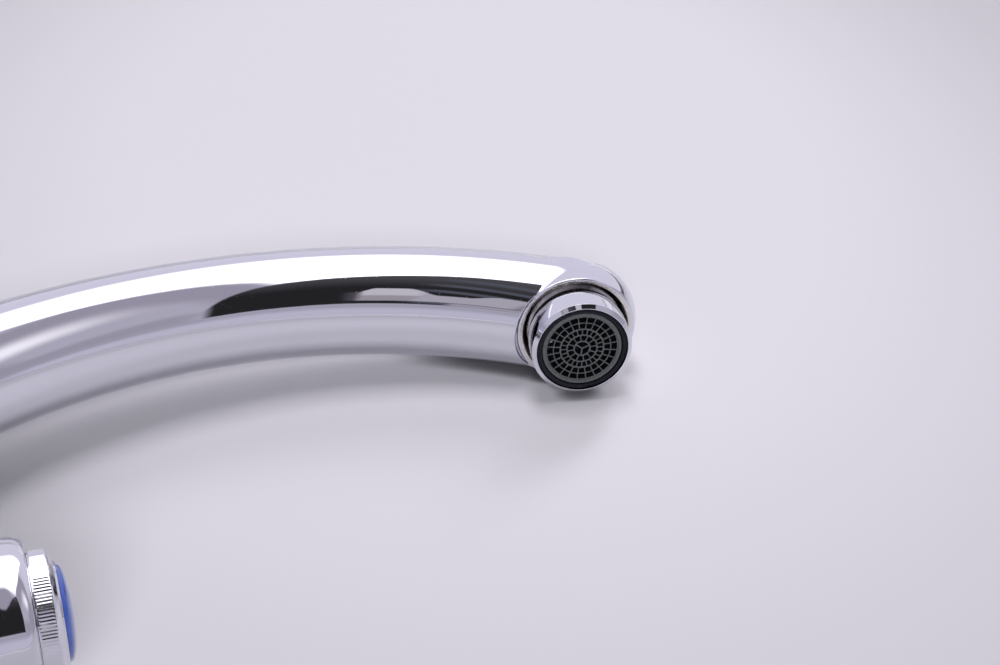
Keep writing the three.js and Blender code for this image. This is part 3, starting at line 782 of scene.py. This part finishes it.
# =========================================================================
# carried-over nodes
# =========================================================================
kept = {
    "spout_grub_screw": "steel", "spout_spigot": "brass", "spout_oring_lower": "rubber", "spout_oring_upper": "rubber",
    "aerator_diffuser": "black_plastic", "aerator_strainer": "white_plastic",
}
for side in ("cold", "hot"):
    kept.update({
        f"{side}_headwork": "brass", f"{side}_headwork_gasket": "white_plastic", f"{side}_fixed_disc": "ceramic", f"{side}_moving_disc": "ceramic",
        f"{side}_seat_seal": "rubber", f"{side}_handle_screw": "steel", f"{side}_spindle": "brass", f"{side}_spindle_oring": "rubber",
        f"{side}_circlip": "steel",
    })
for node, kind in kept.items():
    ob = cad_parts[node]
    if not ob.material_slots:
        ob.data.materials.append(MAT[kind])
    for ms in ob.material_slots:
        ms.material = MAT[kind]


# =========================================================================
# stage: one-sided sweep behind and under the tap, as it lies in the picture
# =========================================================================
def stage_material(name, builder):
    m = bpy.data.materials.new(name)
    m.use_nodes = True
    t = m.node_tree
    b = t.nodes["Principled BSDF"]
    b.inputs["Roughness"].default_value = 0.75
    b.inputs["Specular IOR Level"].default_value = 0.2
    builder(t, b)
    geo = t.nodes.new("ShaderNodeNewGeometry")
    clear = t.nodes.new("ShaderNodeBsdfTransparent")
    sw = t.nodes.new("ShaderNodeMixShader")
    t.links.new(geo.outputs["Backfacing"], sw.inputs[0])
    t.links.new(b.outputs[0], sw.inputs[1])
    t.links.new(clear.outputs[0], sw.inputs[2])
    t.links.new(sw.outputs[0], t.nodes["Material Output"].inputs["Surface"])
    return m


def sweep_look(t, b):
    co = t.nodes.new("ShaderNodeTexCoord")
    sep = t.nodes.new("ShaderNodeSeparateXYZ")
    t.links.new(co.outputs["Object"], sep.inputs[0])
    X, Z = Ex(t, sep.outputs[0]), Ex(t, sep.outputs[2])
    # painted fall-off of light: the sheet's colour darkens away from a spot beyond the tap, and darker again past 0.6 m
    # towards -Z
    dx, dz = X - 0.171, Z - 0.306
    d = (dx * dx * 10.7 + dz * dz * 4.63).m("SQRT")
    grain = noise(t, 900, 2.0)
    f = d.step(0.291, 0.774) * d.step(3.0, 1.4) + grain * 0.02
    painted_falloff = mix(t, f, (0.636, 0.636, 0.636), (0.472, 0.472, 0.474))
    painted_falloff = mix(t, Z.step(-0.6, -1.4) * 0.45, painted_falloff, (0.20, 0.20, 0.203))
    # deep shade where the tap all but touches the sheet
    ao = t.nodes.new("ShaderNodeAmbientOcclusion")
    ao.samples = 16
    ao.inputs["Distance"].default_value = 0.0043
    t.links.new(mix(t, Ex(t, ao.outputs["AO"]).step(0.35, 0.80), (0.13, 0.13, 0.133), painted_falloff), b.inputs["Base Color"])


def floor_look(t, b):
    grain = noise(t, 700, 2.0)
    t.links.new(mix(t, grain, (0.20, 0.199, 0.20), (0.22, 0.219, 0.221)), b.inputs["Base Color"])
    b.inputs["Emission Color"].default_value = (0.425, 0.415, 0.455, 1)
    b.inputs["Emission Strength"].default_value = 1.0


def sheet_mesh(name, V, Q, material):
    me = bpy.data.meshes.new(name)
    me.from_pydata([tuple(np.array(v) * 0.001) for v in V], [], Q)
    me.polygons.foreach_set("use_smooth", [True] * len(Q))
    me.materials.append(material)
    o = bpy.data.objects.new(name, me)
    scene.collection.objects.link(o)
    return o


rows = [(-3000.0, SHEET_Y), (1300.0, SHEET_Y)]
for i in range(1, 17):
    a = rad(55) * i / 16
    rows.append((1300 + 900 * math.sin(a), SHEET_Y - 900 * (1 - math.cos(a))))
V, Q = [], []
for zz, yy in rows:
    V += [(-3500.0, yy, zz), (3500.0, yy, zz)]
for i in range(len(rows) - 1):
    Q.append((2 * i, 2 * i + 1, 2 * i + 3, 2 * i + 2))
sweep = sheet_mesh("sweep", V, Q, stage_material("sweep", sweep_look))

ground = sheet_mesh("ground", [(-3500, -3500, -60.6), (3500, -3500, -60.6), (3500, 3500, -60.6), (-3500, 3500, -60.6)],
                    [(0, 1, 2, 3)], stage_material("ground", floor_look))
for flag in ("visible_glossy", "visible_diffuse", "visible_shadow", "visible_transmission"):
    setattr(ground, flag, False)


# =========================================================================
# light
# =========================================================================
world = bpy.data.worlds.new("studio")
scene.world = world
world.use_nodes = True
t = world.node_tree
for n in list(t.nodes):
    t.nodes.remove(n)
co = t.nodes.new("ShaderNodeTexCoord")
sep = t.nodes.new("ShaderNodeSeparateXYZ")
t.links.new(co.outputs["Generated"], sep.inputs[0])
DX, DY, DZ = (Ex(t, sep.outputs[i]) for i in range(3))
A = (DY * -1.0).m("ARCTAN2", DZ) * (180 / math.pi)      # 0 towards +Z, 90 towards -Y, 180 towards -Z
B = DX.m("ARCSINE") * (180 / math.pi)

col = mix(t, A.step(20, 140), (0.80, 0.77, 0.90), (0.62, 0.595, 0.72))
col = mix(t, A.band(157, 166, 5) * 0.8, col, (0.40, 0.38, 0.455))
# soft fall-off towards the sides
col = mix(t, B.step(58, 80), col, (0.38, 0.365, 0.43))
col = mix(t, B.step(-42, -70), col, (0.36, 0.345, 0.41))
# grey side of the room, with a weak second light in it
col = mix(t, A.band(70, 150, 6) * B.band(17, 75, 3), col, (0.40, 0.37, 0.45))
col = mix(t, A.band(112, 146, 8) * B.band(28, 60, 4), col, (0.53, 0.505, 0.60))
col = mix(t, A.band(140, 160, 6) * B.band(34, 75, 4), col, (0.40, 0.385, 0.46))
col = mix(t, A.band(91, 112, 9) * B.step(26, 47) * B.step(66, 56), col, (1.18, 1.13, 1.20))
# big softbox over the sweep
near = (B - 14.0).max(0.0)
start = B * 0.55 + 95.5 + near * near * 0.09
limit = (A.rsub(98.0)).max(0.0) * 0.2 + 16.2
box = A.step(36, 45) * (A - start).step(1.2, -1.2) * (B - limit).step(1.8, -1.8) * B.step(-38, -30)
col = mix(t, box, col, (2.5, 2.42, 2.58))
# dim room behind the camera: nearly black, a little lighter near the softbox, with faint cool streaks
edge = (A - 117.0).max(0.0) * 0.13 + 28.0
dark = (A - start).step(-1.2, 1.2) * A.step(158.5, 156.0) * (B - edge).step(1.2, -1.2) * B.step(-26, -21)
deep = mix(t, A.step(100, 126), (0.080, 0.077, 0.084), (0.022, 0.021, 0.023))
streak = ((A - 103.0) * (2 * math.pi / 12.0) + B * 0.16).m("COSINE").step(-0.4, 1.0)
deep = mix(t, streak * B.step(2, -5), deep, (0.100, 0.105, 0.132))
deep = mix(t, A.band(134, 151, 2) * B.band(4, 9, 2), deep, (0.115, 0.105, 0.13))
col = mix(t, dark, col, deep)
# pale patch in it, tapering to a line
low_edge = B.step(1.0, -6.0) * 12.0 - B.step(-11, -15) * 7.0 + B.step(5.5, 8.0) * 8.0 + 126.0
patch = (A - low_edge).step(-1.2, 1.2) * A.step(152.0, 150.4) * B.step(8.2, 6.6) * B.step(-24, -20)
pale = mix(t, A.step(138.5, 142.0), (0.64, 0.605, 0.66), (0.40, 0.36, 0.405))
pale = mix(t, B.step(-1.5, -3.5), pale, (0.49, 0.455, 0.515))
col = mix(t, patch, col, pale)
col = mix(t, A.band(152.0, 157.0, 1.2) * B.step(-8, -11) * B.step(-30, -26), col, (0.42, 0.39, 0.45))

light = t.nodes.new("ShaderNodeBackground")
t.links.new(col, light.inputs["Color"])
plain = t.nodes.new("ShaderNodeBackground")
plain.inputs["Color"].default_value = (0.66, 0.635, 0.72, 1)
path = t.nodes.new("ShaderNodeLightPath")
sw = t.nodes.new("ShaderNodeMixShader")
out = t.nodes.new("ShaderNodeOutputWorld")
t.links.new(path.outputs["Is Camera Ray"], sw.inputs[0])
t.links.new(light.outputs[0], sw.inputs[1])
t.links.new(plain.outputs[0], sw.inputs[2])
t.links.new(sw.outputs[0], out.inputs["Surface"])



def softbox(name, A, B, size, energy):
    """Wide lamp 2.2 m from the tap, in the direction (A, B) used above."""
    lamp = bpy.data.lights.new(name, "AREA")
    lamp.shape = "RECTANGLE"
    lamp.size, lamp.size_y = size
    lamp.energy = energy
    lamp.color = (1.03, 0.995, 1.115)
    o = bpy.data.objects.new(name, lamp)
    scene.collection.objects.link(o)
    aim = Vector((0.10, 0.02, 0.15))
    way = Vector((math.sin(rad(B)), -math.sin(rad(A)) * math.cos(rad(B)), math.cos(rad(A)) * math.cos(rad(B))))
    o.location = aim + way * 2.2
    o.rotation_euler = (-way).to_track_quat("-Z", "Y").to_euler()
    o.visible_glossy = False


# the room is seen in the chrome; these lamps light the sheet and the plastics
world.cycles_visibility.diffuse = False
softbox("overhead", 85, 0, (0.7, 1.2), 26.1)
softbox("back_high", 35, 30, (0.7, 0.5), 15.2)
softbox("back_low", 47, 22, (0.7, 0.5), 5.84)
softbox("front", 150, -3, (0.7, 0.5), 33.4)

scene.view_settings.view_transform = "Standard"
scene.view_settings.look = "None"
scene.cycles.use_denoising = True
